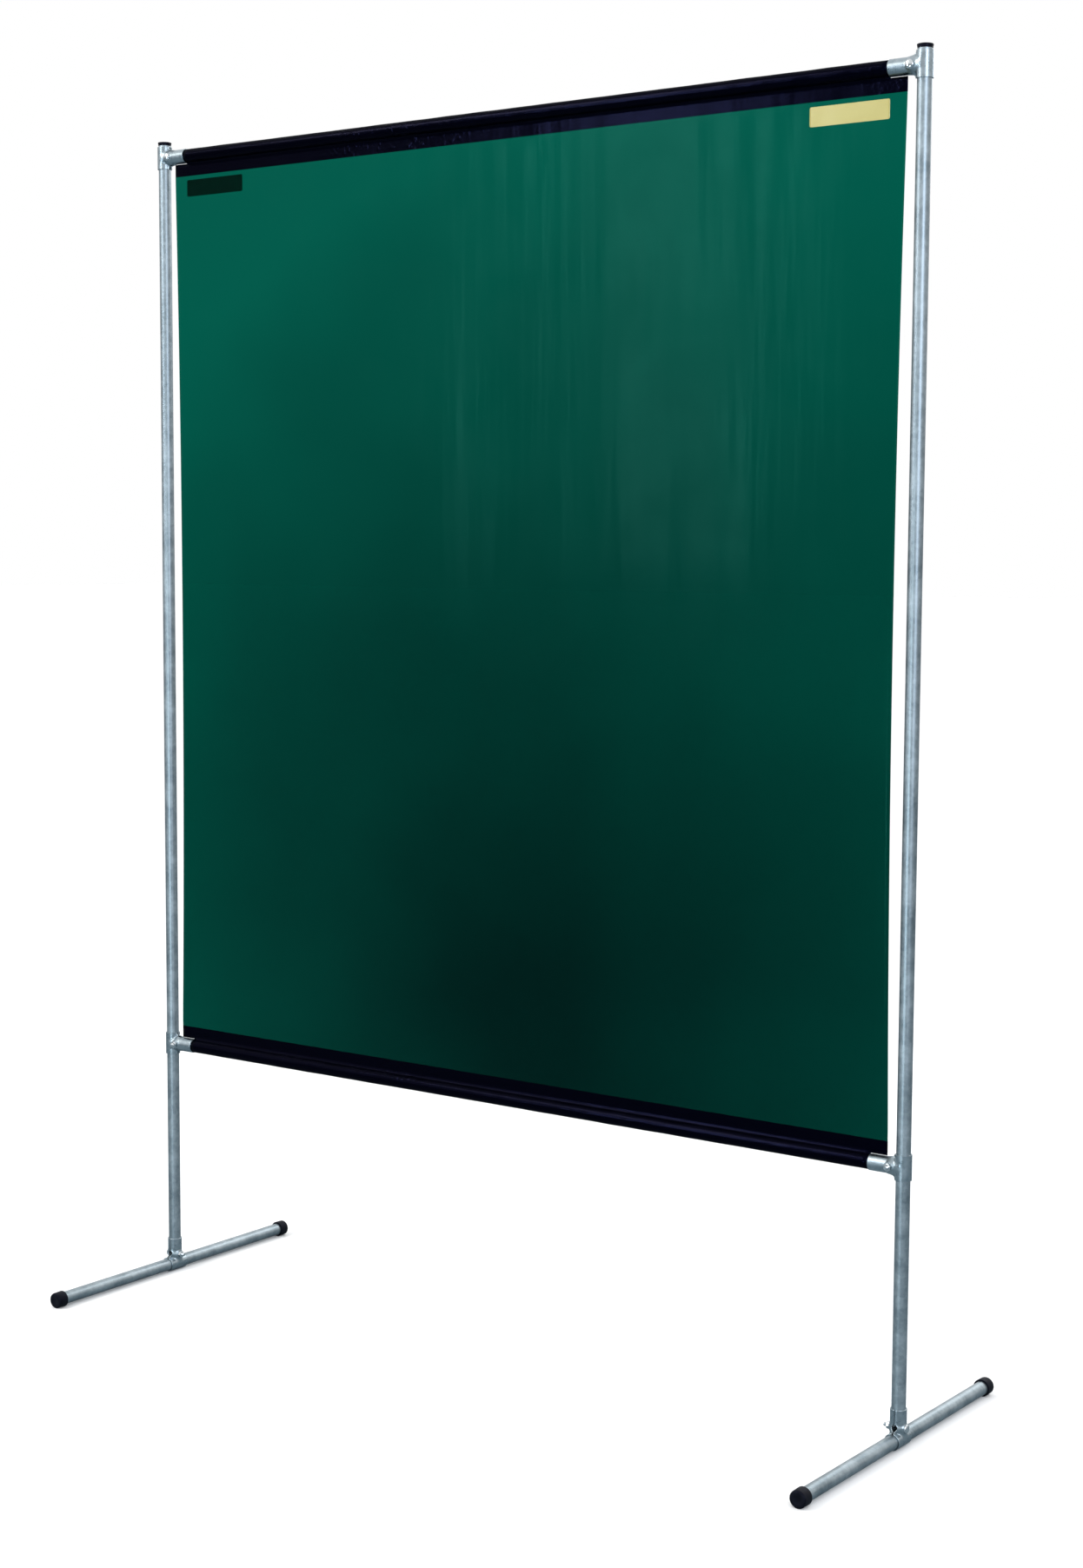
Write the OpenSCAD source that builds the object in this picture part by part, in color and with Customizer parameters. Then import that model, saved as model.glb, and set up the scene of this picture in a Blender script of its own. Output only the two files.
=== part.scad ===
// Free-standing welding curtain screen: two tube posts on T-clamped feet, with a tinted PVC
// film stretched between two rails that are clamped to the posts.
// Frame: X along the screen, Y through it with the front at -Y, Z up.
// The origin lies on the floor, midway between the posts, in the plane of the film.

/* [Frame] */
// Height from the floor to the top of the post caps
screen_h = 2000; // [1600:10:2400]
// Distance between the axes of the two posts
post_pitch = 1468; // [1000:4:2000]
// Outside diameter of every tube
tube_d = 21.3; // [20:0.1:24]
// Wall thickness of every tube
tube_wall = 2; // [1.5:0.1:2.5]
// Height of the upper rail's axis below the top of the post caps
upper_rail_drop = 28; // [28:1:60]
// Height of the lower rail's axis above the floor
lower_rail_z = 417; // [300:1:600]

/* [Feet] */
// Length of one foot over its two ferrules
foot_len = 580; // [400:10:800]
// Wall thickness of a rubber ferrule
ferrule_wall = 2.8; // [2.6:0.1:5]
// Length of a ferrule
ferrule_len = 19; // [14:1:40]
// How deep the flat sole is cut into a ferrule
sole_cut = 0.5; // [0.4:0.1:0.6]

/* [Clamps] */
// Sheet thickness of a pressed clamp half
clamp_sheet = 1.8; // [1.2:0.1:1.9]
// Length of the channel that runs along the through tube
clamp_run = 38; // [34:1:60]
// Reach of a rail clamp from the post's axis to its mouth
rail_reach = 53; // [44:1:70]
// Reach of a foot clamp from the foot's axis to its mouth
foot_reach = 46; // [42:1:70]
// Slit left between the two halves of a clamp
clamp_slit = 1.8; // [1:0.1:3]
// Thread diameter of the clamp bolts
bolt_d = 6; // [5:0.5:6]

/* [Curtain] */
// Gap between each side edge of the film and the nearest post's axis, at the hems
film_inset = 26; // [24:1:60]
// Thickness of the film
film_t = 0.5; // [0.4:0.1:1]
// How far each side edge of the film draws in at mid height
film_neck = 10; // [1:1:25]
// Height of a hem from the rail's axis to its welded edge
hem_h = 34; // [24:1:60]
// Width of a label
label_w = 129; // [80:1:160]
// Height of a label
label_h = 28; // [15:1:40]
// Height of a label's middle below the upper rail's axis
label_drop = 55; // [50:1:120]
// Gap between a label's outer edge and the nearest post's axis
label_inset = 53; // [45:1:120]

/* [Hidden] */
$fn = 64;
over = 1;                           // how far a cutting solid runs past what it cuts
big = 200;                          // edge of the block that removes a clamp's other half
tube_r = tube_d / 2;
bore_r = tube_r + 0.08;             // running fit of clamps and ferrules on the tubes
post_x = post_pitch / 2;

run_r = bore_r + clamp_sheet;       // outside of the channel along the through tube
stem_r = run_r - 0.2;               // outside of the channel along the butting tube
neck_r = 8;                         // hollow that joins the two channels
neck_end = 22;                      // where that hollow stops, from the through tube's axis
tube_setback = neck_end + 1;        // where a butting tube ends, from the through tube's axis
gusset_r = 9;                       // hollow corner between the two channels
gusset_end = run_r + gusset_r;

bolt_at = 17.5;                     // the bolt's distance from the through tube's axis
bolt_r = bolt_d / 2;
bolt_hole_r = bolt_r + 0.2;
seat_r = 7.2;                       // flat seat pressed for the bolt head and the nut
seat_y = run_r + 0.4;
head_r = 6.7;
head_h = 3.6;
nut_flats = 10;
nut_h = 5;
nut_bore_r = bolt_r + 0.1;
bolt_end = seat_y + nut_h + 5;      // end of the thread, measured from the slit

ferrule_r = bore_r + ferrule_wall;
ferrule_end = 3;                    // rubber in front of the tube's end
ferrule_chamfer = 1.6;
foot_z = ferrule_r - sole_cut;      // axis height of the foot tubes

cap_r = tube_r + 0.6;
cap_h = 4;                          // part of a post cap that stands above the post
cap_stem = 14;                      // part of a post cap inside the post
cap_grip = 0.05;                    // gap between a cap's stem and the post's bore
cap_dome_r = 34;
upper_rail_z = screen_h - upper_rail_drop;
post_low = foot_z + tube_setback;
post_high = screen_h - cap_h;
rail_half = post_x - tube_setback;

hem_bore_r = tube_r + 0.15;         // inside of a hem's sleeve, clear of its rail
hem_r = hem_bore_r + 0.8;
sleeve_half = post_x - rail_reach - 1;
band_t = 2 * film_t;                // the welded band is two films thick
band_near = run_r + 1.5;            // where the band clears the clamps, from the rail's axis
film_w = post_pitch - 2 * film_inset;
film_low = lower_rail_z + hem_h;
film_high = upper_rail_z - hem_h;
edge_steps = 12;                    // straight stretches in each drawn-in side edge
label_t = 0.3;

ENDS = ["left", "right"];

ZINC = "#aab4ba";                   // galvanised tube
PRESSED = "#b9c4c8";                // zinc-plated sheet
BRIGHT = "#d5dade";                 // zinc-plated fasteners
FILM = "#0f5f4b";
HEM = "#0c1420";
RUBBER = "#15161a";
LABEL = "#e6d97a";

// sign of an end of the screen: -1 left, +1 right
function side(end) = end == "left" ? -1 : 1;

// a round tube along +Z from z = 0
module tube(length) {
    difference() {
        cylinder(r = tube_r, h = length);
        translate([0, 0, -over]) cylinder(r = tube_r - tube_wall, h = length + 2 * over);
    }
}

module post(end) {
    color(ZINC)
        translate([side(end) * post_x, 0, post_low]) tube(post_high - post_low);
}

// plug with a low domed top, and a round stem inside the bore of the post
module post_cap(end) {
    color(RUBBER)
        translate([side(end) * post_x, 0, post_high]) {
            intersection() {
                cylinder(r = cap_r, h = cap_h);
                translate([0, 0, cap_h - cap_dome_r]) sphere(r = cap_dome_r, $fn = 96);
            }
            translate([0, 0, -cap_stem])
                cylinder(r = tube_r - tube_wall - cap_grip, h = cap_stem);
        }
}

module rail(z) {
    color(ZINC)
        translate([-rail_half, 0, z]) rotate([0, 90, 0]) tube(2 * rail_half);
}

// outline of the web in the slit plane: a T with hollow corners
module web_outline() {
    difference() {
        translate([0, -clamp_run / 2]) square([gusset_end, clamp_run]);
        for (up = [-1, 1]) {
            translate([gusset_end, up * (stem_r + gusset_r)]) circle(r = gusset_r);
            translate([gusset_end, up > 0 ? stem_r + gusset_r : -clamp_run])
                square([over, clamp_run - stem_r - gusset_r]);
            translate([run_r, up > 0 ? stem_r + gusset_r : -clamp_run])
                square([gusset_end, clamp_run - stem_r - gusset_r]);
        }
    }
}

// One pressed half of a T clamp. The through tube runs along Z, the butting tube along +X,
// and the slit is the XZ plane. half is -1 or +1, the sign of Y on which the half lies.
module clamp_half(reach, half) {
    slit = clamp_slit / 2;
    color(PRESSED)
        difference() {
            union() {
                translate([0, 0, -clamp_run / 2]) cylinder(r = run_r, h = clamp_run);
                rotate([0, 90, 0]) cylinder(r = stem_r, h = reach);
                rotate([90, 0, 0])
                    translate([0, 0, -slit - clamp_sheet])
                        linear_extrude(2 * (slit + clamp_sheet)) web_outline();
                translate([bolt_at, 0, 0])
                    rotate([90, 0, 0])
                        translate([0, 0, -seat_y]) cylinder(r = seat_r, h = 2 * seat_y);
            }
            translate([0, 0, -clamp_run]) cylinder(r = bore_r, h = 2 * clamp_run);
            translate([neck_end, 0, 0]) rotate([0, 90, 0]) cylinder(r = bore_r, h = reach);
            rotate([0, 90, 0]) cylinder(r = neck_r, h = neck_end + over);
            translate([bolt_at, 0, 0])
                rotate([90, 0, 0])
                    translate([0, 0, -clamp_run]) cylinder(r = bolt_hole_r, h = 2 * clamp_run);
            // everything on the far side of the slit
            translate([-big / 2, half > 0 ? slit - big : -slit, -big / 2])
                cube([big, big, big]);
        }
}

// Bolt across a T clamp: its low domed head lies on the side of head_at (-1 or +1, the sign
// of Y), and its thread ends on the other side.
module clamp_bolt(head_at) {
    dome_r = (head_r * head_r + head_h * head_h) / (2 * head_h);
    color(BRIGHT)
        translate([bolt_at, 0, 0])
            rotate([-90 * head_at, 0, 0]) {
                translate([0, 0, -bolt_end]) cylinder(r = bolt_r, h = bolt_end + seat_y);
                intersection() {
                    translate([0, 0, seat_y + head_h - dome_r]) sphere(r = dome_r);
                    translate([0, 0, seat_y]) cylinder(r = head_r, h = head_h);
                }
            }
}

module clamp_nut(nut_at) {
    color(BRIGHT)
        translate([bolt_at, 0, 0])
            rotate([-90 * nut_at, 0, 0])
                translate([0, 0, seat_y])
                    difference() {
                        cylinder(r = nut_flats / sqrt(3), h = nut_h, $fn = 6);
                        translate([0, 0, -over]) cylinder(r = nut_bore_r, h = nut_h + 2 * over);
                    }
}

// puts a clamp's own shape on a post at a rail's height, its stem towards the other post
module at_rail(end, z) {
    translate([side(end) * post_x, 0, z])
        mirror([end == "right" ? 1 : 0, 0, 0]) children();
}

// puts a clamp's own shape on a foot: through tube along Y, stem up, halves at -X and +X
module at_foot(end) {
    translate([side(end) * post_x, 0, foot_z])
        rotate([0, 0, -90]) rotate([0, -90, 0]) children();
}

module foot_tube(end) {
    length = foot_len - 2 * ferrule_end;
    color(ZINC)
        translate([side(end) * post_x, length / 2, foot_z]) rotate([90, 0, 0]) tube(length);
}

// Rubber ferrule with a flat sole on one end of a foot. along is -1 for the front end.
module ferrule(end, along) {
    straight = ferrule_len - ferrule_chamfer;
    color(RUBBER)
        translate([side(end) * post_x, along * foot_len / 2, foot_z])
            difference() {
                rotate([90 * along, 0, 0]) {
                    translate([0, 0, ferrule_chamfer]) cylinder(r = ferrule_r, h = straight);
                    cylinder(r1 = ferrule_r - ferrule_chamfer, r2 = ferrule_r,
                             h = ferrule_chamfer);
                }
                rotate([90 * along, 0, 0])
                    translate([0, 0, ferrule_end]) cylinder(r = bore_r, h = ferrule_len);
                translate([-ferrule_r, -ferrule_len - over, -foot_z - ferrule_r])
                    cube([2 * ferrule_r, 2 * (ferrule_len + over), ferrule_r]);
            }
}

// half of the film's width at a share of its height, drawn in as a parabola
function film_half(share) = film_w / 2 - film_neck * 4 * share * (1 - share);

module curtain() {
    height = film_high - film_low;
    shares = [for (i = [0 : edge_steps]) i / edge_steps];
    right_edge = [for (s = shares) [film_half(s), film_low + s * height]];
    left_edge = [for (s = shares) [-film_half(s), film_high - s * height]];
    color(FILM)
        rotate([90, 0, 0])
            translate([0, 0, -film_t / 2])
                linear_extrude(film_t) polygon(concat(right_edge, left_edge));
}

// Hem at a rail: a sleeve round the rail, and a welded band that runs on to the film and past
// the sleeve's ends. towards is the sign of Z from the rail to the film.
module hem(z, towards) {
    color(HEM)
        translate([0, 0, z])
            difference() {
                union() {
                    translate([-sleeve_half, 0, 0])
                        rotate([0, 90, 0]) cylinder(r = hem_r, h = 2 * sleeve_half);
                    translate([-sleeve_half, -band_t / 2, towards > 0 ? tube_r : -hem_h])
                        cube([2 * sleeve_half, band_t, hem_h - tube_r]);
                    translate([-film_w / 2, -band_t / 2, towards > 0 ? band_near : -hem_h])
                        cube([film_w, band_t, hem_h - band_near]);
                }
                translate([-post_x, 0, 0])
                    rotate([0, 90, 0]) cylinder(r = hem_bore_r, h = post_pitch);
            }
}

// Label on the film. face is -1 for the front, whose label is at the right end, and +1 for the
// back, whose label is at the left end.
module label(face) {
    x = -face * (post_x - label_inset - label_w / 2);
    color(LABEL)
        translate([x - label_w / 2, face < 0 ? -film_t / 2 - label_t : film_t / 2,
                   upper_rail_z - label_drop - label_h / 2])
            cube([label_w, label_t, label_h]);
}

for (end = ENDS) {
    post(end);
    post_cap(end);
    // each level: its name, its height and the side of its bolt heads
    for (level = [["upper", upper_rail_z, -1], ["lower", lower_rail_z, 1]]) {
        name = str(level[0], "_", end, "_clamp");
        at_rail(end, level[1]) clamp_half(rail_reach, -1);
        at_rail(end, level[1]) clamp_half(rail_reach, 1);
        at_rail(end, level[1]) clamp_bolt(level[2]);
        at_rail(end, level[1]) clamp_nut(-level[2]);
    }
    at_foot(end) clamp_half(foot_reach, side(end));
    at_foot(end) clamp_half(foot_reach, -side(end));
    at_foot(end) clamp_bolt(side(end));
    at_foot(end) clamp_nut(-side(end));
    foot_tube(end);
    ferrule(end, -1);
    ferrule(end, 1);
}
rail(upper_rail_z);  // upper_rail
rail(lower_rail_z);  // lower_rail
curtain();
hem(upper_rail_z, -1);  // upper_hem
hem(lower_rail_z, 1);  // lower_hem
label(-1);  // front_label
label(1);  // back_label
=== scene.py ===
import math

import bmesh
import bpy
import numpy as np
from mathutils import Matrix, Vector


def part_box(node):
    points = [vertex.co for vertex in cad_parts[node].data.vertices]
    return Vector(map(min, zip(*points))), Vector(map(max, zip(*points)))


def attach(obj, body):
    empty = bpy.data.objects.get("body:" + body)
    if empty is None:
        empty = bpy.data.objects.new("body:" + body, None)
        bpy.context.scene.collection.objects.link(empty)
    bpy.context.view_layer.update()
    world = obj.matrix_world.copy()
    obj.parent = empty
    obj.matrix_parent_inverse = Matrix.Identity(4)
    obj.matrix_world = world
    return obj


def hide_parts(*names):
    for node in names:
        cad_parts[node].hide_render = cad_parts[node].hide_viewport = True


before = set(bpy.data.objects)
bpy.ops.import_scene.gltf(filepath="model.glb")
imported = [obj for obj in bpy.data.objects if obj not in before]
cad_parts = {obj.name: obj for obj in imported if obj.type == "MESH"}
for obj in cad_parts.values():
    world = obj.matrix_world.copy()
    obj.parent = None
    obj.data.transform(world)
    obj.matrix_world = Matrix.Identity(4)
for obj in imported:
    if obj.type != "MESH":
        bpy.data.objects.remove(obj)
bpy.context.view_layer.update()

# Welding curtain screen. X runs along the screen, the front is at -Y and Z is up.
# Sizes in the dictionaries are in millimetres, and everything built is in metres.
mm = 0.001
ends = {"left": -1, "right": 1}
print("frame loaded,", len(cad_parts), "nodes")


# camera, light and floor

cameraSetup = {
    "place": (2.362, -3.108, 1.303),  # metres
    "turn": 36.25,  # degrees, to the left of a view straight through the screen
    "down": 5.49,
    "roll": 0.30,
    "lens": 56.3,  # for 36 mm along the longer side of the frame
}


def makeCamera(setup):
    data = bpy.data.cameras.new("camera")
    data.lens = setup["lens"]
    camera = bpy.data.objects.new("camera", data)
    bpy.context.scene.collection.objects.link(camera)
    turn = Matrix.Rotation(math.radians(setup["turn"]), 4, "Z")
    tilt = Matrix.Rotation(math.radians(90 - setup["down"]), 4, "X")
    roll = Matrix.Rotation(math.radians(setup["roll"]), 4, "Z")
    camera.matrix_world = Matrix.Translation(setup["place"]) @ turn @ tilt @ roll
    bpy.context.scene.camera = camera


# sRGB hex to the linear values that shaders take
def linear(hexColour):
    parts = [int(hexColour[i:i + 2], 16) / 255 for i in (1, 3, 5)]
    return [p / 12.92 if p <= 0.04045 else ((p + 0.055) / 1.055) ** 2.4 for p in parts] + [1.0]


# Adds a shader node. settings are the node's own properties. inputs are its sockets, by name or
# number: another node's socket is linked, and anything else becomes the socket's value.
def addNode(tree, kind, settings=None, inputs=None):
    node = tree.nodes.new("ShaderNode" + kind)
    for name, value in (settings or {}).items():
        setattr(node, name, value)
    for name, value in (inputs or {}).items():
        if isinstance(value, bpy.types.NodeSocket):
            tree.links.new(value, node.inputs[name])
        else:
            node.inputs[name].default_value = value
    return node


lights = {
    # place and size in metres, power in watts
    "key": {"place": (-2.6, -3.0, 4.2), "size": (1.8, 1.8), "power": 70, "colour": "#fff9f0"},
    "strip": {"place": (-1.95, -3.4, 2.3), "size": (0.6, 2.2), "power": 34, "colour": "#e9f4ff"},
    "fill": {"place": (3.9, -2.4, 2.1), "size": (1.7, 2.2), "power": 66, "colour": "#e8f1ff"},
    "rear": {"place": (0.5, 3.4, 3.0), "size": (2.4, 1.2), "power": 30, "colour": "#ffffff"},
    "low": {"place": (0.4, -4.0, 0.45), "size": (0.9, 0.85), "power": 34, "colour": "#e2f2fb"},
}
studio = {
    "aim": (0, 0, 1.0),  # metres, where the softboxes point
    "behind": "#ffffff",  # what the camera sees past the floor
    "room": "#fbfbfb",
    "overhead": 1.15,  # brightness of the room overhead and at eye level
    "eyeLevel": 0.38,
    "overheadFrom": 0.30,  # sine of the elevation above which the room is fully bright
    "floor": "#f8f8f8",
    "floorBounce": "#7d8b92",  # what the floor gives back to the metal, to keep its shading
    "floorReach": 60,  # metres
}


def makeLights():
    for name, light in lights.items():
        data = bpy.data.lights.new(name + "_softbox", "AREA")
        data.shape = "RECTANGLE"
        data.size, data.size_y = light["size"]
        data.energy = light["power"]
        data.color = linear(light["colour"])[:3]
        box = bpy.data.objects.new(name + "_softbox", data)
        bpy.context.scene.collection.objects.link(box)
        away = Vector(light["place"]) - Vector(studio["aim"])
        facing = away.to_track_quat("Z", "Y").to_matrix().to_4x4()
        box.matrix_world = Matrix.Translation(light["place"]) @ facing


# The room: bright overhead and dim at eye level, and plain where the camera looks past the floor.
def makeRoom():
    world = bpy.data.worlds.new("studio")
    bpy.context.scene.world = world
    world.use_nodes = True
    tree = world.node_tree
    tree.nodes.clear()
    direction = addNode(tree, "TexCoord").outputs["Generated"]
    parts = addNode(tree, "SeparateXYZ", {}, {"Vector": direction})
    strength = addNode(tree, "MapRange", {"interpolation_type": "SMOOTHSTEP"}, {
        "Value": parts.outputs["Z"], "From Min": 0.0, "From Max": studio["overheadFrom"],
        "To Min": studio["eyeLevel"], "To Max": studio["overhead"]})
    room = addNode(tree, "Background", {}, {
        "Color": linear(studio["room"]), "Strength": strength.outputs["Result"]})
    plain = addNode(tree, "Background", {}, {
        "Color": linear(studio["behind"]), "Strength": 1.0})
    path = addNode(tree, "LightPath")
    both = addNode(tree, "MixShader", {}, {
        0: path.outputs["Is Camera Ray"], 1: room.outputs[0], 2: plain.outputs[0]})
    addNode(tree, "OutputWorld", {}, {"Surface": both.outputs[0]})
    bpy.context.scene.view_settings.view_transform = "Standard"


def newMaterial(name):
    material = bpy.data.materials.new(name)
    material.use_nodes = True
    material.node_tree.nodes.clear()
    return material, material.node_tree


def finishMaterial(tree, shader):
    addNode(tree, "OutputMaterial", {}, {"Surface": shader.outputs[0]})


# matt paper roll: even and almost white to look at, but dim in what the metal reflects of it
def floorPaper():
    material, tree = newMaterial("floor_paper")
    path = addNode(tree, "LightPath")
    colour = addNode(tree, "Mix", {"data_type": "RGBA"}, {
        0: path.outputs["Is Camera Ray"],
        6: linear(studio["floorBounce"]), 7: linear(studio["floor"])})
    finishMaterial(tree, addNode(tree, "BsdfPrincipled", {}, {
        "Base Color": colour.outputs[2], "Roughness": 0.9, "Specular IOR Level": 0.1}))
    return material


def makeFloor():
    far = studio["floorReach"]
    corners = [(-far, -far, 0), (far, -far, 0), (far, far, 0), (-far, far, 0)]
    mesh = bpy.data.meshes.new("floor")
    mesh.from_pydata(corners, [], [(0, 1, 2, 3)])
    mesh.materials.append(floorPaper())
    floor = bpy.data.objects.new("floor", mesh)
    bpy.context.scene.collection.objects.link(floor)


makeCamera(cameraSetup)
makeLights()
makeRoom()
makeFloor()
print("camera, lights and floor set")


# materials

# pattern scale of a texture whose features are this many millimetres apart
def perMm(size):
    return 1000 / size


# Half-inch pipe, hot-dip galvanised and wiped: satin zinc with faint lines from drawing along
# the tube, a soft bloom of oxide and hardly visible crystals.
def galvanisedPipe(along):
    material, tree = newMaterial("galvanised_pipe_" + along)
    place = addNode(tree, "TexCoord").outputs["Object"]
    # squeezed along the pipe, so that grains become lines
    squeeze = [0.015 if axis == along else 1.0 for axis in "xyz"]
    lined = addNode(tree, "Mapping", {}, {"Vector": place, "Scale": squeeze})
    lines = addNode(tree, "TexNoise", {}, {
        "Vector": lined.outputs[0], "Scale": perMm(1.1), "Detail": 3.0, "Roughness": 0.6})
    bloom = addNode(tree, "TexNoise", {}, {
        "Vector": place, "Scale": perMm(38), "Detail": 5.0, "Roughness": 0.62})
    crystals = addNode(tree, "TexVoronoi", {}, {"Vector": place, "Scale": perMm(5)})
    crystalTone = addNode(tree, "SeparateXYZ", {}, {"Vector": crystals.outputs["Color"]})
    mixed = addNode(tree, "Mix", {"data_type": "FLOAT"}, {
        0: 0.12, 2: bloom.outputs["Fac"], 3: crystalTone.outputs["X"]})
    tone = addNode(tree, "MapRange", {}, {
        "Value": mixed.outputs[0], "From Min": 0.3, "From Max": 0.7})
    colour = addNode(tree, "Mix", {"data_type": "RGBA"}, {
        0: tone.outputs[0], 6: linear("#7e8b92"), 7: linear("#adb8be")})
    roughness = addNode(tree, "MapRange", {}, {
        "Value": mixed.outputs[0], "From Min": 0.3, "From Max": 0.7,
        "To Min": 0.37, "To Max": 0.50})
    bump = addNode(tree, "Bump", {}, {
        "Strength": 0.12, "Distance": 0.05 * mm, "Height": lines.outputs["Fac"]})
    finishMaterial(tree, addNode(tree, "BsdfPrincipled", {}, {
        "Base Color": colour.outputs[2], "Metallic": 1.0,
        "Roughness": roughness.outputs[0], "Normal": bump.outputs[0]}))
    return material


# Deep-drawn sheet steel, zinc-plated in a barrel: brighter and a little bluer than the pipe,
# with a mottled passivation and small dings from tumbling.
def platedPressing():
    material, tree = newMaterial("zinc_plated_pressing")
    place = addNode(tree, "TexCoord").outputs["Object"]
    mottle = addNode(tree, "TexNoise", {}, {
        "Vector": place, "Scale": perMm(9), "Detail": 4.0, "Roughness": 0.6})
    dings = addNode(tree, "TexVoronoi", {"feature": "SMOOTH_F1"}, {
        "Vector": place, "Scale": perMm(4), "Smoothness": 0.6})
    colour = addNode(tree, "Mix", {"data_type": "RGBA"}, {
        0: mottle.outputs["Fac"], 6: linear("#7d8c94"), 7: linear("#b0bbc1")})
    roughness = addNode(tree, "MapRange", {}, {
        "Value": mottle.outputs["Fac"], "From Min": 0.3, "From Max": 0.7,
        "To Min": 0.24, "To Max": 0.40})
    bump = addNode(tree, "Bump", {}, {
        "Strength": 0.4, "Distance": 0.12 * mm, "Height": dings.outputs["Distance"]})
    finishMaterial(tree, addNode(tree, "BsdfPrincipled", {}, {
        "Base Color": colour.outputs[2], "Metallic": 1.0,
        "Roughness": roughness.outputs[0], "Normal": bump.outputs[0]}))
    return material


# Bright zinc plate on the bolts and nuts: the shiniest metal here, with a faint haze.
def brightZinc():
    material, tree = newMaterial("bright_zinc_plate")
    place = addNode(tree, "TexCoord").outputs["Object"]
    haze = addNode(tree, "TexNoise", {}, {"Vector": place, "Scale": perMm(3), "Detail": 3.0})
    colour = addNode(tree, "Mix", {"data_type": "RGBA"}, {
        0: haze.outputs["Fac"], 6: linear("#b4bcc1"), 7: linear("#d6dadc")})
    roughness = addNode(tree, "MapRange", {}, {
        "Value": haze.outputs["Fac"], "From Min": 0.3, "From Max": 0.7,
        "To Min": 0.16, "To Max": 0.28})
    finishMaterial(tree, addNode(tree, "BsdfPrincipled", {}, {
        "Base Color": colour.outputs[2], "Metallic": 1.0, "Roughness": roughness.outputs[0]}))
    return material


# Moulded black rubber or plastic: a fine spark-eroded grain, and a grey cast where it is rubbed.
# The gloss is weak and bluish, so that it stays black under the bright room.
def mouldedBlack(name, dark, rubbed, grainMm, roughness):
    material, tree = newMaterial(name)
    place = addNode(tree, "TexCoord").outputs["Object"]
    grain = addNode(tree, "TexNoise", {}, {"Vector": place, "Scale": perMm(grainMm), "Detail": 2.0})
    cast = addNode(tree, "TexNoise", {}, {"Vector": place, "Scale": perMm(11), "Detail": 4.0})
    tone = addNode(tree, "MapRange", {}, {
        "Value": cast.outputs["Fac"], "From Min": 0.42, "From Max": 0.75})
    colour = addNode(tree, "Mix", {"data_type": "RGBA"}, {
        0: tone.outputs[0], 6: linear(dark), 7: linear(rubbed)})
    rough = addNode(tree, "MapRange", {}, {
        "Value": cast.outputs["Fac"], "From Min": 0.3, "From Max": 0.7,
        "To Min": roughness - 0.06, "To Max": roughness + 0.08})
    bump = addNode(tree, "Bump", {}, {
        "Strength": 0.5, "Distance": 0.08 * mm, "Height": grain.outputs["Fac"]})
    finishMaterial(tree, addNode(tree, "BsdfPrincipled", {}, {
        "Base Color": colour.outputs[2], "Roughness": rough.outputs[0],
        "Specular IOR Level": 0.14, "Specular Tint": linear("#b4bbea"), "Normal": bump.outputs[0]}))
    return material


filmLook = {
    "glossShare": 0.13,  # of each face, the rest lets light through
    "ior": 1.53,
    "shadeCentre": (0.1, 0, 0.5),  # metres, the middle of the painted shade
    "shadeReach": (1.5, 9.0, 1.45),  # metres along x, y and z over which the painted shade fades
}
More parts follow.
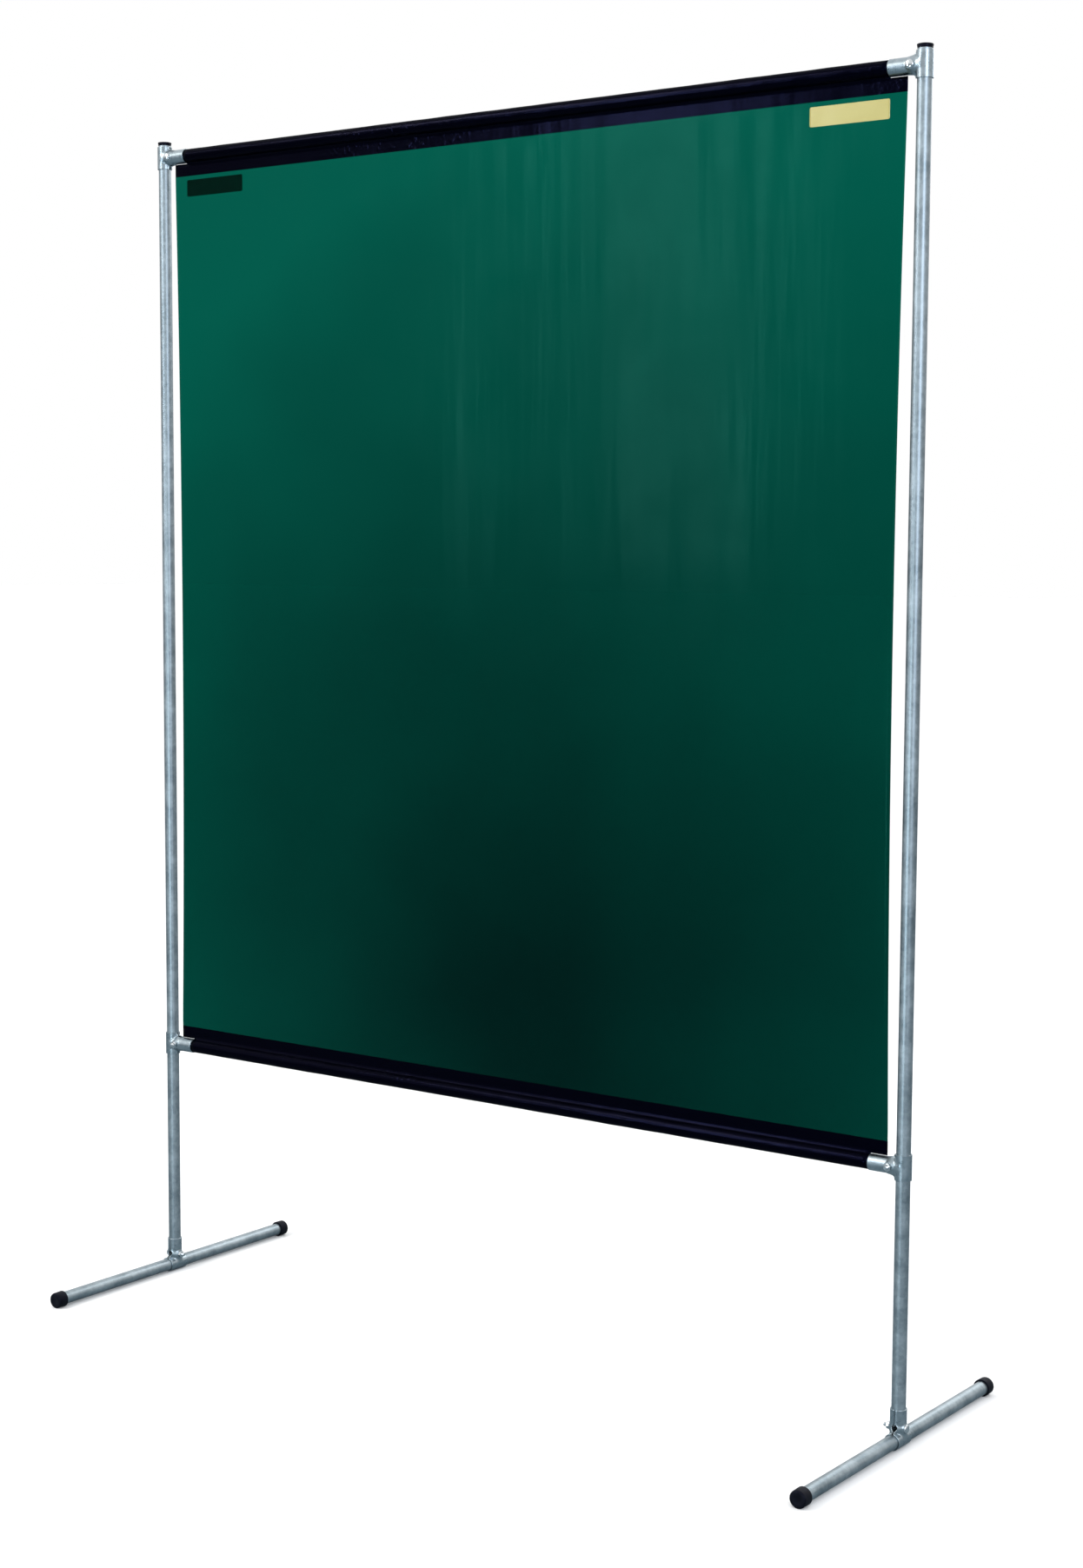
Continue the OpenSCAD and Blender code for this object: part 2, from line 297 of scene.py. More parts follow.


# Calendered PVC film, dyed against weld glare. Light goes through in the colour between top and
# foot. The darkening towards the foot is painted shade, deepest near the sheet's lower middle,
# not denser dye. The surface is glossy, with long faint waves from the calender and a fine orange
# peel, and its sheen takes on the dye, because half of it comes back from the far side. Wiping
# leaves it duller in patches. Where crease isn't zero, as on the hems, sharp creases come and go.
def weldFilm(name, top, foot, dye, sheen, crease):
    material, tree = newMaterial(name)
    place = addNode(tree, "TexCoord").outputs["Object"]
    longWaves = addNode(tree, "Mapping", {}, {"Vector": place, "Scale": (1.0, 1.0, 0.09)})
    waves = addNode(tree, "TexNoise", {}, {
        "Vector": longWaves.outputs[0], "Scale": perMm(55), "Detail": 3.0, "Roughness": 0.5})
    peel = addNode(tree, "TexNoise", {}, {"Vector": place, "Scale": perMm(5), "Detail": 2.0})
    waveBump = addNode(tree, "Bump", {}, {
        "Strength": 0.9, "Distance": 1.5 * mm, "Height": waves.outputs["Fac"]})
    peelBump = addNode(tree, "Bump", {}, {
        "Strength": 0.25, "Distance": 0.06 * mm, "Height": peel.outputs["Fac"],
        "Normal": waveBump.outputs[0]})
    bump = peelBump
    if crease:
        creases = addNode(tree, "TexNoise", {"noise_type": "RIDGED_MULTIFRACTAL"}, {
            "Vector": place, "Scale": perMm(10), "Detail": 2.0})
        stretches = addNode(tree, "TexNoise", {}, {
            "Vector": place, "Scale": perMm(260), "Detail": 1.0})
        creased = addNode(tree, "MapRange", {}, {
            "Value": stretches.outputs["Fac"], "From Min": 0.45, "From Max": 0.62,
            "To Min": 0.0, "To Max": crease})
        bump = addNode(tree, "Bump", {}, {
            "Strength": creased.outputs[0], "Distance": 1.2 * mm,
            "Height": creases.outputs["Fac"], "Normal": peelBump.outputs[0]})
    # painted shade: the colour let through darkens towards a point near the lower middle of the
    # sheet and lightens with distance from it, with a random cloud mixed in
    fromShadeCentre = addNode(tree, "Mapping", {"vector_type": "TEXTURE"}, {
        "Vector": place, "Location": filmLook["shadeCentre"], "Scale": filmLook["shadeReach"]})
    away = addNode(tree, "VectorMath", {"operation": "LENGTH"}, {0: fromShadeCentre.outputs[0]})
    cloud = addNode(tree, "TexNoise", {}, {"Vector": place, "Scale": perMm(420), "Detail": 2.0})
    shadeAndCloud = addNode(tree, "Math", {"operation": "MULTIPLY_ADD"}, {
        0: cloud.outputs["Fac"], 1: 0.3, 2: away.outputs["Value"]})
    outOfShade = addNode(tree, "MapRange", {}, {
        "Value": shadeAndCloud.outputs[0], "From Min": 0.2, "From Max": 1.15})
    tint = addNode(tree, "Mix", {"data_type": "RGBA"}, {
        0: outOfShade.outputs[0], 6: linear(foot), 7: linear(top)})
    wiped = addNode(tree, "TexNoise", {}, {
        "Vector": place, "Scale": perMm(130), "Detail": 5.0, "Roughness": 0.62,
        "Distortion": 0.8})
    roughness = addNode(tree, "MapRange", {}, {
        "Value": wiped.outputs["Fac"], "From Min": 0.35, "From Max": 0.68,
        "To Min": 0.12, "To Max": 0.24})
    through = addNode(tree, "BsdfTransparent", {}, {"Color": tint.outputs[2]})
    gloss = addNode(tree, "BsdfPrincipled", {}, {
        "Base Color": linear(dye), "Roughness": roughness.outputs[0], "IOR": filmLook["ior"],
        "Specular Tint": linear(sheen), "Normal": bump.outputs[0]})
    finishMaterial(tree, addNode(tree, "MixShader", {}, {
        0: filmLook["glossShare"], 1: through.outputs[0], 2: gloss.outputs[0]}))
    return material


# Self-adhesive vinyl. Its face is printed pale yellow and laminated with gloss, and the side
# stuck to the film is a bluish white that only shows dark, through the film.
def labelVinyl(name, dark, light, coat):
    material, tree = newMaterial(name)
    place = addNode(tree, "TexCoord").outputs["Object"]
    fade = addNode(tree, "TexNoise", {}, {"Vector": place, "Scale": perMm(40), "Detail": 3.0})
    colour = addNode(tree, "Mix", {"data_type": "RGBA"}, {
        0: fade.outputs["Fac"], 6: linear(dark), 7: linear(light)})
    finishMaterial(tree, addNode(tree, "BsdfPrincipled", {}, {
        "Base Color": colour.outputs[2], "Roughness": 0.32, "Coat Weight": coat,
        "Coat Roughness": 0.12}))
    return material


pipe = {along: galvanisedPipe(along) for along in "xyz"}
pressing = platedPressing()
fastener = brightZinc()
rubber = mouldedBlack("moulded_rubber", "#08090e", "#14161c", 0.9, 0.52)
capPlastic = mouldedBlack("moulded_polyethylene", "#07070c", "#101119", 1.3, 0.40)
# the first two colours of each film show through at the top and at the foot; the darker foot colour
# is painted shade
filmMaterial = weldFilm("calendered_pvc_film", "#06a395", "#045d59", "#04120f", "#5fc4ae", 0.0)
hemMaterial = weldFilm("heat_sealed_pvc_hem", "#06555f", "#04404e", "#07071c", "#8287e0", 1.0)
vinylFace = labelVinyl("printed_vinyl", "#b1a458", "#c0b46b", 0.4)
vinylBack = labelVinyl("vinyl_backing", "#a5b6d6", "#b9c9e6", 0.0)
print("materials made")


# mesh helpers

mergeWithin = 0.002 * mm


# A mesh through a grid of points, rows by columns by (x, y, z). wrapRows and wrapColumns join
# the last row or column to the first, and keep says which faces stay. Points that meet, as at a
# pole, are merged. A closed skin gets its normals recalculated.
def gridMesh(name, grid, wrapRows=False, wrapColumns=False, keep=None, closed=True):
    index = np.arange(grid.shape[0] * grid.shape[1]).reshape(grid.shape[:2])
    if wrapRows:
        index = np.vstack([index, index[:1]])
    if wrapColumns:
        index = np.hstack([index, index[:, :1]])
    faces = np.stack([index[:-1, :-1], index[:-1, 1:], index[1:, 1:], index[1:, :-1]], -1)
    faces = faces.reshape(-1, 4) if keep is None else faces[keep]
    mesh = bpy.data.meshes.new(name)
    mesh.from_pydata(grid.reshape(-1, 3).tolist(), [], faces.tolist())
    work = bmesh.new()
    work.from_mesh(mesh)
    bmesh.ops.remove_doubles(work, verts=work.verts, dist=mergeWithin)
    loose = [v for v in work.verts if not v.link_faces]
    bmesh.ops.delete(work, geom=loose, context="VERTS")
    if closed:
        bmesh.ops.recalc_face_normals(work, faces=work.faces)
    work.to_mesh(mesh)
    work.free()
    return mesh


# Makes the piece, shades it smooth up to an angle, ties it to its body and hides its CAD nodes.
def makePiece(mesh, material, body, replaced, sharpDegrees=35):
    mesh.materials.append(material)
    mesh.shade_smooth()
    mesh.set_sharp_from_angle(angle=math.radians(sharpDegrees))
    piece = bpy.data.objects.new(mesh.name, mesh)
    bpy.context.scene.collection.objects.link(piece)
    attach(piece, body)
    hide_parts(*replaced)
    return piece


# Points from a piece's own axes into the screen's. axes are where its x, y and z point.
def placed(grid, origin, axes):
    return grid @ np.array(axes, float) + np.array(origin, float)


# A profile of (radius, height) turned round z. radiusAt, where given, works out the radius of
# each point of the profile at each angle.
def turned(profile, columns, radiusAt=None):
    angle = np.linspace(0, 2 * np.pi, columns, endpoint=False)
    radius = np.repeat(profile[:, :1], columns, 1) if radiusAt is None else radiusAt(profile, angle)
    height = np.repeat(profile[:, 1:2], columns, 1)
    return np.stack([radius * np.cos(angle), radius * np.sin(angle), height], -1)


# Higher of two heights, with a fillet of about this width where they cross.
def blendedMax(a, b, width):
    near = np.maximum(width - np.abs(a - b), 0) / width
    return np.maximum(a, b) + near ** 2 * width / 4


# Part of a circle about a centre, from one angle to another, as (across, up) points.
def arc(centre, radius, fromDegrees, toDegrees, steps):
    angle = np.radians(np.linspace(fromDegrees, toDegrees, steps))
    return np.stack([centre[0] + radius * np.cos(angle), centre[1] + radius * np.sin(angle)], -1)


# where things are, from the frame

def middle(node):
    low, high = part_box(node)
    return (low + high) / 2


def boxSize(node):
    low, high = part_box(node)
    return high - low


postX = middle("right_post").x
pipeR = boxSize("right_post").x / 2
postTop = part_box("right_post")[1].z
railZ = {level: middle(level + "_rail").z for level in ("upper", "lower")}
footZ = middle("right_foot_tube").z
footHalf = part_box("right_rear_ferrule")[1].y


# pipes: the CAD shapes stay and get their finish

pipeAlong = {"left_post": "z", "right_post": "z", "upper_rail": "x", "lower_rail": "x",
             "left_foot_tube": "y", "right_foot_tube": "y"}
for node, along in pipeAlong.items():
    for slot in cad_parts[node].material_slots:
        slot.material = pipe[along]
print("pipes finished")


# T clamps

clampShape = {
    "sheet": 1.8,
    "slit": 0.9,  # half of the gap between the two pressings
    "fit": 0.08,  # between the channel and the pipe
    "stemLess": 0.2,  # how much smaller the stem's channel is outside
    "gusset": 9.0,  # radius of the hollow corner between the channels
    "fillet": 3.0,
    "boltAt": 17.5,  # from the through pipe's axis
    "seatRadius": 6.6,
    "seatRise": 0.4,  # of the flat bolt seat above the channel
    "seatFillet": 1.2,
}
clampSlope = {"seat": 1.3, "stemEnd": 1.2, "web": 2.0}  # fall of each part past its end
webPast = 0.7  # how far the web goes into the hollow corner, as a share of its radius
clampGridSize = {"over": 53, "stem": 43, "across": 57}  # rows over the pipe and along the stem
evenTurn = 0.86  # share of half a turn over the through pipe that has even steps of angle


# Outside of one pressed half. x runs from the far side of the through pipe to the mouth of the
# stem, and v across it. The height is the rounded maximum of two half-round channels, sqrt(R2 -
# x2) and sqrt(S2 - z2), a flat web between them and a raised seat for the bolt.
def clampOutside(run, reach):
    c = {key: value * mm for key, value in clampShape.items()}
    runR = pipeR + c["fit"] + c["sheet"]
    stemR = runR - c["stemLess"]
    # even steps of angle over the through pipe, then even steps along the stem
    start = math.asin(c["slit"] / runR)
    over = -runR * np.cos(np.linspace(start, np.pi * evenTurn, clampGridSize["over"]))
    along = np.linspace(over[-1], reach, clampGridSize["stem"] + 1)[1:]
    x = np.concatenate([over, along])[:, None]
    edge = math.acos(c["slit"] / stemR)
    v = np.sin(np.linspace(-edge, edge, clampGridSize["across"]))[None, :]  # in stem radii
    # half width: half the run over the pipe, then a hollow quarter circle down to the stem
    inGusset = np.clip(runR + c["gusset"] - x, 0, c["gusset"])
    hollow = stemR + c["gusset"] - np.sqrt(np.maximum(c["gusset"] ** 2 - inGusset ** 2, 0))
    share = np.clip((hollow - stemR) / c["gusset"], 0, 1)
    wide = stemR + share * (run / 2 - stemR)
    z = v * wide
    overPipe = np.sqrt(np.maximum(runR ** 2 - x ** 2, 0)) - np.maximum(np.abs(x) - runR, 0)
    overStem = np.sqrt(np.maximum(stemR ** 2 - z ** 2, 0)) - np.maximum(np.abs(z) - stemR, 0)
    overStem = overStem - clampSlope["stemEnd"] * np.maximum(-x, 0)
    web = c["slit"] + c["sheet"] - clampSlope["web"] * np.maximum(-x, 0)
    web = web - clampSlope["web"] * np.maximum(x - runR - webPast * c["gusset"], 0)
    fromBolt = np.hypot(x - c["boltAt"], z)
    seatTop = runR + c["seatRise"]
    seat = seatTop - clampSlope["seat"] * np.maximum(fromBolt - c["seatRadius"], 0)
    y = blendedMax(overPipe + 0 * z, overStem, c["fillet"])
    y = blendedMax(y, web, c["fillet"])
    y = np.minimum(blendedMax(y, seat, c["seatFillet"]), seatTop)
    return np.stack([x + 0 * z, y, z], -1)


# axes take the clamp's x (stem), y (out of the half) and z (through pipe) to the screen's
def makeClampHalf(name, run, reach, origin, axes, body):
    outside = clampOutside(run, reach)
    if np.linalg.det(np.array(axes, float)) < 0:
        outside = outside[:, ::-1]
    mesh = gridMesh(name + "_pressing", placed(outside, origin, axes), closed=False)
    piece = makePiece(mesh, pressing, body, [name])
    wall = piece.modifiers.new("sheet", "SOLIDIFY")
    wall.thickness = clampShape["sheet"] * mm
    wall.offset = -1
    wall.use_even_offset = True


# bolts and nuts

boltShape = {
    "radius": 3.0,
    "pitch": 1.0,
    "depth": 0.55,  # of the thread
    "headRadius": 6.7,
    "headHeight": 3.6,
    "rim": 0.9,  # height of the head's straight edge
    "chamferUp": 0.225,  # under the head's edge
    "chamferIn": 0.201,
    "point": 0.3,  # of the thread's end
    "past": 5.0,  # thread past the nut
}
nutShape = {
    "flats": 10.0,
    "height": 5.0,
    "face": 9.6,  # across the round face inside the chamfer
    "bore": 6.06,
    "sink": 0.4,
}
nutChamfer = 30  # degrees
threadSteps = 8  # rows to one turn of the thread
firstRing = 0.2  # where the shank's first row lies, as a share of its plain length


# Mushroom-head bolt about its own z: a low dome with a short rim, then the shank. Down the
# threaded end the radius is r - depth * triangle(z / pitch - angle / turn), one helical ridge.
def boltGrid(seat, columns=48):
    b = {key: value * mm for key, value in boltShape.items()}
    dome = np.linspace(0, 1, 14)
    crown = np.stack([b["headRadius"] * np.sin(dome * np.pi / 2),
                      b["rim"] + (b["headHeight"] - b["rim"]) * np.cos(dome * np.pi / 2)], -1)
    under = np.array([[b["headRadius"], b["chamferUp"]],
                      [b["headRadius"] - b["chamferIn"], 0], [b["radius"], 0]])
    tip = -(2 * seat + nutShape["height"] * mm + b["past"])
    plain = tip / 2
    shank = np.array([[b["radius"], firstRing * plain], [b["radius"], plain]])
    steps = int(round((plain - tip) / (b["pitch"] / threadSteps)))
    threadZ = np.linspace(plain, tip, steps)
    thread = np.stack([0 * threadZ + b["radius"], threadZ], -1)
    end = np.array([[b["radius"] - b["depth"], tip - b["point"]], [0, tip - b["point"]]])
    profile = np.concatenate([crown, under, shank, thread, end])
    profile[:, 1] += seat

    def radiusAt(points, angle):
        height = points[:, 1:2] - seat
        turns = height / b["pitch"] - angle[None, :] / (2 * np.pi)
        ridge = 2 * np.abs(turns - np.floor(turns) - 0.5)
        threaded = (height <= plain) & np.isclose(points[:, :1], b["radius"])
        taper = np.clip((height - tip) / b["pitch"], 0, 1)
        depth = b["depth"] * (1 - (1 - ridge) * taper)
        return np.where(threaded, b["radius"] - depth, points[:, :1] + 0 * turns)

    return turned(profile, columns, radiusAt)


# Hexagon nut about its own z: radius flats / 2 / cos(angle from the middle of a flat), with both
# faces chamfered by a cone, and a countersunk bore through it.
def nutGrid(seat, columns=72):
    n = {key: value * mm for key, value in nutShape.items()}
    angle = np.linspace(0, 2 * np.pi, columns, endpoint=False)
    fromFlat = np.mod(angle + np.pi / 6, np.pi / 3) - np.pi / 6
    hexagon = n["flats"] / 2 / np.cos(fromFlat)
    level = 0 * angle
    bore, face, high = n["bore"] / 2 + level, n["face"] / 2 + level, n["height"] + level
    drop = (hexagon - face) * math.tan(math.radians(nutChamfer))
    mouth = bore + n["sink"]
    radius = np.stack([bore, mouth, face, hexagon, hexagon, face, mouth, bore])
    height = np.stack([level + n["sink"], level, level, drop,
                       high - drop, high, high, high - n["sink"]])
    return np.stack([radius * np.cos(angle), radius * np.sin(angle), height + seat], -1)


# axes are the directions of the clamp's stem and of its bolt, and headSide is 1 where the head
# lies on the side that the second one points to
def makeFasteners(name, origin, axes, headSide, body):
    seat = pipeR + (clampShape["fit"] + clampShape["sheet"] + clampShape["seatRise"]) * mm
    stem, out = [np.array(axis, float) for axis in axes]
    centre = np.array(origin) + stem * clampShape["boltAt"] * mm
    headUp = headSide * out
    side = np.cross(headUp, stem)
    boltPoints = placed(boltGrid(seat), centre, [stem, side, headUp])
    bolt = gridMesh(name + "_bolt_threaded", boltPoints, wrapColumns=True)
    makePiece(bolt, fastener, body, [name + "_bolt"])
    nutPoints = placed(nutGrid(seat), centre, [stem, -side, -headUp])
    nut = gridMesh(name + "_nut_hex", nutPoints, wrapRows=True, wrapColumns=True)
    makePiece(nut, fastener, body, [name + "_nut"])


for end, side in ends.items():
    for level, height in railZ.items():
        name = f"{level}_{end}_clamp"
        run = boxSize(name + "_front").z
        reach = postX - min(abs(corner.x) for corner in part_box(name + "_front"))
        origin = (side * postX, 0, height)
        for half, out in (("front", -1), ("back", 1)):
            axes = [(-side, 0, 0), (0, out, 0), (0, 0, 1)]
            makeClampHalf(f"{name}_{half}", run, reach, origin, axes, "panel")
        headSide = -1 if level == "upper" else 1
        makeFasteners(name, origin, [(-side, 0, 0), (0, 1, 0)], headSide, "panel")
    name = f"{end}_foot_clamp"
    run = boxSize(name + "_outer").y
    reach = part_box(name + "_outer")[1].z - footZ
    origin = (side * postX, 0, footZ)
    for half, out in (("outer", side), ("inner", -side)):
        axes = [(0, 0, 1), (out, 0, 0), (0, 1, 0)]
        makeClampHalf(f"{name}_{half}", run, reach, origin, axes, name)
    makeFasteners(name, origin, [(0, 0, 1), (1, 0, 0)], side, name)
print("clamps made")


# rubber ferrules and post caps

roundColumns = 64
ferruleShape = {
    "round": 3.0,  # radius of the outer corner
    "lip": 0.9,  # rounding of the mouth
    "endWall": 3.0,
    "ring": 0.5,  # depth of the moulded recess in the end face
    "flare": 0.35,  # how much wider the mouth is than the end
    "inset": 0.3,  # from the mouth to the start of the bore
}
ferruleRing = (0.42, 0.50)  # inner and outer edge of the recess, as shares of the end's radius


# Cup turned about its own z, from the middle of its end at z = 0 to its mouth and back inside
# to the pipe's end. The end is flat round a shallow recess, and the wall flares slightly.
def ferruleProfile(radius, length):
    s = {key: value * mm for key, value in ferruleShape.items()}
    small = radius - s["flare"]
    inner, outer = [share * small for share in ferruleRing]
    recess = np.array([[0, s["ring"]], [inner, s["ring"]], [outer, 0.0]])
    corner = arc((small - s["round"], s["round"]), s["round"], -90, 0, 9)
    mouth = arc((radius - s["lip"], length - s["lip"]), s["lip"], 0, 90, 6)
    bore = pipeR + clampShape["fit"] * mm
    inside = np.array([[bore, length - s["inset"]], [bore, s["endWall"]], [0, s["endWall"]]])
    return np.concatenate([recess, corner, mouth, inside])


def makeFerrule(end, place):
    name = f"{end}_{place}_ferrule"
    size = boxSize(name)
    inward = 1 if place == "front" else -1
    grid = turned(ferruleProfile(size.x / 2, size.y), roundColumns)
    axes = [(1, 0, 0), (0, 0, 1), (0, inward, 0)]
    points = placed(grid, (ends[end] * postX, -inward * footHalf, footZ), axes)
    points[..., 2] = np.maximum(points[..., 2], 0)  # the flat sole
    mesh = gridMesh(name + "_cup", points, wrapColumns=True)
    makePiece(mesh, rubber, end + "_foot", [name])


capShape = {
    "rise": 4.0,  # above the post
    "dome": 0.8,
    "lip": 1.1,  # how far the rolled lip stands out from the post
    "lipRound": 1.0,
    "skirt": 2.6,  # down the outside of the post
    "taper": 1.56,  # how far down the lip's taper reaches
    "skirtWall": 0.35,
    "fit": 0.05,  # between the cap and the post's end and outside
    "postWall": 2.0,
    "stem": 14.0,
    "stemFit": 0.1,
    "ribs": 0.25,  # depth of the grooves between them
}
capRibs = 4


# Plug turned about its own z from the post's end: a low dome, a rolled lip that tapers down to a
# short skirt outside the post, and a ribbed stem inside it.
def capProfile():
    c = {key: value * mm for key, value in capShape.items()}
    lipR = pipeR + c["lip"]
    flat = lipR - c["lipRound"]
    across = np.linspace(0, 1, 10)
    dome = np.stack([flat * across, c["rise"] - c["dome"] * across ** 2], -1)
    roll = arc((flat, c["rise"] - c["dome"] - c["lipRound"]), c["lipRound"], 85, -20, 7)
    skirtR, seatR, boreR = pipeR + c["skirtWall"], pipeR + c["fit"], pipeR - c["postWall"]
    skirt = np.array([[skirtR, -c["taper"]], [skirtR, -c["skirt"]], [seatR, -c["skirt"]],
                      [seatR, c["fit"]], [boreR, c["fit"]]])
    down = np.linspace(0, 1, 25)[1:]
    groove = 0.5 - 0.5 * np.cos(2 * np.pi * capRibs * down)
    stem = np.stack([boreR - c["stemFit"] - c["ribs"] * groove, -c["stem"] * down], -1)
    return np.concatenate([dome, roll, skirt, stem, [[0, -c["stem"]]]])


for end, side in ends.items():
    for place in ("front", "rear"):
        makeFerrule(end, place)
    name = end + "_post_cap"
    points = turned(capProfile(), roundColumns) + [side * postX, 0, postTop]
    mesh = gridMesh(name + "_plug", points, wrapColumns=True)
    makePiece(mesh, capPlastic, "posts", [name])
print("ferrules and caps made")


# film

filmShape = {
    "thickness": 0.5,
    "layerGap": 0.56,  # between the middles of two welded layers
    "railGap": 0.4,  # from the rail to the middle of the film in the sleeve
    "clampGap": 0.7,  # between the clamps and the corners cut out for them
    "neck": 10.0,  # how far each side edge draws in at mid height
    "sag": 1.6,  # slow waves across the sheet
    "curl": 3.5,  # of the side edges
    "curlReach": 30.0,
    "gather": 0.8,  # short ripples along the welds
    "gatherFrom": 20.0,  # over which they start, away from the weld
    "gatherReach": 60.0,  # over which they die away
    "pucker": 0.45,  # of the sleeves
}
slowWaves = [  # share of the sag, wavelength in metres, phase, and drift up the sheet
    (0.9, 0.61, 0.8, 1.1),
    (0.5, 0.34, 2.1, -1.7),
    (0.22, 0.19, 0.0, 4.0),
]
# metres to a radian, of the ripples at the welds and of the puckers in the sleeves
rippleEvery = {"one": 0.0113, "shadeAndCloud": 0.087, "patch": 0.143}
puckerEvery = {"short": 0.011, "long": 0.027, "patch": 0.21}
filmGridSize = {"columns": 175, "rows": 125, "ring": 31, "tail": 5, "lap": 4}
rowCrowding = 0.1  # how much closer rows lie near the welds
f = {key: value * mm for key, value in filmShape.items()}
hemEdge = {"upper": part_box("upper_hem")[0].z, "lower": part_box("lower_hem")[1].z}
hemHeight = railZ["upper"] - hemEdge["upper"]
openHeight = hemEdge["upper"] - hemEdge["lower"]
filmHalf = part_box("upper_hem")[1].x
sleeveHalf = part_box("upper_right_clamp_front")[0].x - mm  # 1 mm short of the clamps
notchHeight = pipeR + (clampShape["fit"] + clampShape["sheet"]) * mm + f["clampGap"]


# How far up the open film a height lies, from 0 at the lower weld to 1 at the upper one.
def upTheFilm(z):
    return np.clip((z - hemEdge["lower"]) / openHeight, 0, 1)


# How far the side edges draw in: a parabola, zero at both welds.
def neckAt(share):
    return f["neck"] * 4 * share * (1 - share)


# Distance from the film's plane at (x, z): three slow waves, strongest at mid height and zero
# at the hems; short ripples of uneven length, in patches, that die away from each weld; and a
# curl of the free side edges that dies away inwards.
def filmWave(x, z):
    share = upTheFilm(z)
    free = np.sin(np.pi * share) ** 0.7
    waves = sum(high * np.sin(2 * np.pi * x / length + phase + drift * share)
                for high, length, phase, drift in slowWaves)
    fromWeld = np.minimum(share, 1 - share) * openHeight
    near = np.exp(-fromWeld / f["gatherReach"]) * (1 - np.exp(-fromWeld / f["gatherFrom"]))
    ripples = np.sin(x / rippleEvery["one"] + 2.2 * np.sin(x / rippleEvery["shadeAndCloud"]))
    ripples = ripples * np.sin(x / rippleEvery["patch"] + 5 * share) ** 2
    fromEdge = filmHalf - neckAt(share) - np.abs(x)
    curl = np.exp(-np.maximum(fromEdge, 0) / f["curlReach"]) * np.sign(x)
    return free * (f["sag"] * waves + f["curl"] * curl) + f["gather"] * near * ripples


# One hem from the end of its tail behind the film, round the rail and down to the welded edge in
# front, as (y, height towards the film). Both layers are welded as far up as the clamps reach,
# and tangents join the weld to a circle round the rail.
def hemPath():
    r = pipeR + f["railGap"]
    lean = math.acos(r / notchHeight)  # from straight down to where the film meets the rail
    angle = np.linspace(lean, 2 * np.pi - lean, filmGridSize["ring"])
    ring = np.stack([r * np.sin(angle), -r * np.cos(angle)], -1)
    steps = filmGridSize["tail"]
    down = -np.linspace(hemHeight, notchHeight, steps)
    tail = np.stack([np.full(steps, f["layerGap"] / 2), down], -1)
    back = np.concatenate([tail, [(tail[-1] + ring[0]) / 2]])
    return np.concatenate([back, ring, back[::-1] * [-1, 1]])


# The sheet: the upper hem, the film down to the lower hem, and that hem, as one path carried
# across the width. Returns the points, which faces stay, and the path's length.
def filmGrid():
    hem = hemPath()
    upper = hem + [0, railZ["upper"]]
    lower = (hem * [1, -1] + [0, railZ["lower"]])[::-1]
    even = np.linspace(0, 1, filmGridSize["rows"])[1:-1]
    crowded = even - rowCrowding * np.sin(2 * np.pi * even)
    between = hemEdge["upper"] - openHeight * crowded
    openFilm = np.stack([0 * between - f["layerGap"] / 2, between], -1)
    path = np.concatenate([upper, openFilm, lower])
    inner = np.linspace(-sleeveHalf, sleeveHalf, filmGridSize["columns"])
    lap = np.linspace(sleeveHalf, filmHalf, filmGridSize["lap"] + 1)[1:]
    across = np.concatenate([-lap[::-1], inner, lap])[None, :]
    z = path[:, 1:2] + 0 * across
    x = across * (1 - neckAt(upTheFilm(z)) / filmHalf)
    y = path[:, :1] + filmWave(x, z)
    # small outward puckers where the sleeves bear on the rails, of two lengths and in patches
    halfWay = (railZ["upper"] + railZ["lower"]) / 2
    nearest = np.where(path[:, 1:2] > halfWay, railZ["upper"], railZ["lower"])
    fromRail = np.hypot(path[:, :1], path[:, 1:2] - nearest)
    turn = np.arctan2(z - nearest, y)
    short = np.sin(x / puckerEvery["short"] + 3 * turn)
    long = np.sin(x / puckerEvery["long"] - 2 * turn + 1.3)
    lift = 0.5 + 0.25 * short + 0.25 * long
    lift *= 0.35 + 0.65 * np.sin(x / puckerEvery["patch"] + nearest) ** 2
    lift *= f["pucker"] * (fromRail < notchHeight - mm)
    y, z = y + lift * np.cos(turn), z + lift * np.sin(turn)
    # the sleeves stop short of the clamps, so their corners are cut away
    above = (fromRail[:-1, 0] + fromRail[1:, 0]) / 2 < notchHeight
    past = np.abs(across[0, :-1] + across[0, 1:]) / 2 > sleeveHalf
    keep = ~(above[:, None] & past[None, :])
    length = np.hypot(*np.diff(path, axis=0).T).sum()
    return np.stack([x, y, z], -1), keep, length


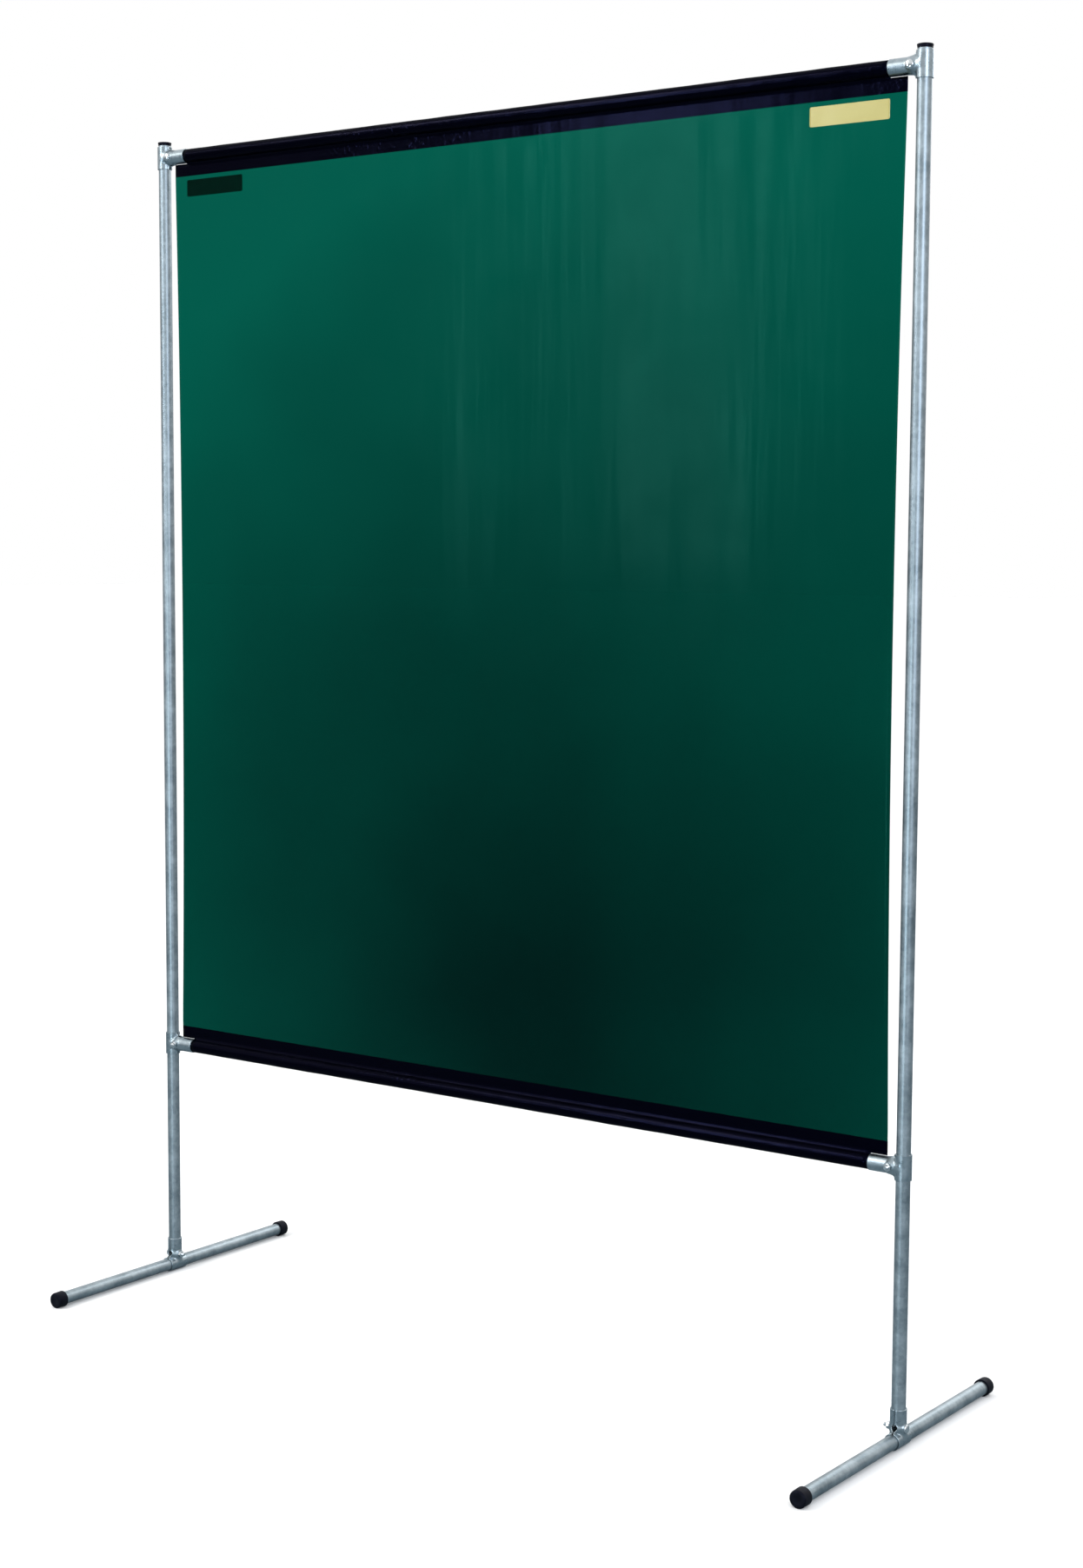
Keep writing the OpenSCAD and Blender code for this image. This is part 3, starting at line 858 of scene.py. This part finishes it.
def makeFilm():
    grid, keep, length = filmGrid()
    mesh = gridMesh("tinted_film", grid, keep=keep, closed=False)
    stoodFor = ["curtain", "upper_hem", "lower_hem"]
    piece = makePiece(mesh, filmMaterial, "panel", stoodFor, 180)
    mesh.materials.append(hemMaterial)
    centres = np.array([face.center.z for face in mesh.polygons])
    inHem = (centres > hemEdge["upper"]) | (centres < hemEdge["lower"])
    mesh.polygons.foreach_set("material_index", inHem.astype(np.int32))
    wall = piece.modifiers.new("thickness", "SOLIDIFY")
    wall.thickness = f["thickness"]
    wall.offset = 0
    print("film path is", round(length, 3), "m long")
    return piece, length


# labels

labelShape = {"corner": 2.5, "thickness": 0.16, "lift": 0.08}


# A thin sheet on the film: rows from edge to edge whose half width is cut back by a circle
# near the corners, pressed on to the film's own waves. face is -1 on the film's front and 1 on
# its back.
def makeLabel(name, face):
    centre, size = middle(name), boxSize(name)
    corner = labelShape["corner"] * mm
    straightHigh, straightWide = size.z / 2 - corner, size.x / 2 - corner
    rounded = straightHigh + corner * np.sin(np.linspace(0, np.pi / 2, 6))
    straight = np.linspace(-straightHigh, straightHigh, 5)[1:-1]
    up = np.concatenate([-rounded[::-1], straight, rounded])
    inCorner = np.maximum(np.abs(up) - straightHigh, 0)
    wide = straightWide + np.sqrt(np.maximum(corner ** 2 - inCorner ** 2, 0))
    x = centre.x + wide[:, None] * np.linspace(-1, 1, 41)[None, :]
    z = centre.z + up[:, None] + 0 * x
    stand = f["thickness"] / 2 + (labelShape["lift"] + labelShape["thickness"] / 2) * mm
    y = filmWave(x, z) - f["layerGap"] / 2 + face * stand
    grid = np.stack([x, y, z], -1)
    if face > 0:
        grid = grid[:, ::-1]
    mesh = gridMesh(name + "_sticker", grid, closed=False)
    piece = makePiece(mesh, vinylFace, "panel", [name])
    mesh.materials.append(vinylBack)
    wall = piece.modifiers.new("thickness", "SOLIDIFY")
    wall.thickness = labelShape["thickness"] * mm
    wall.offset = 0
    wall.material_offset = 1
    return piece


film, filmLength = makeFilm()
stickers = [makeLabel("front_label", -1), makeLabel("back_label", 1)]
print("film and labels made")
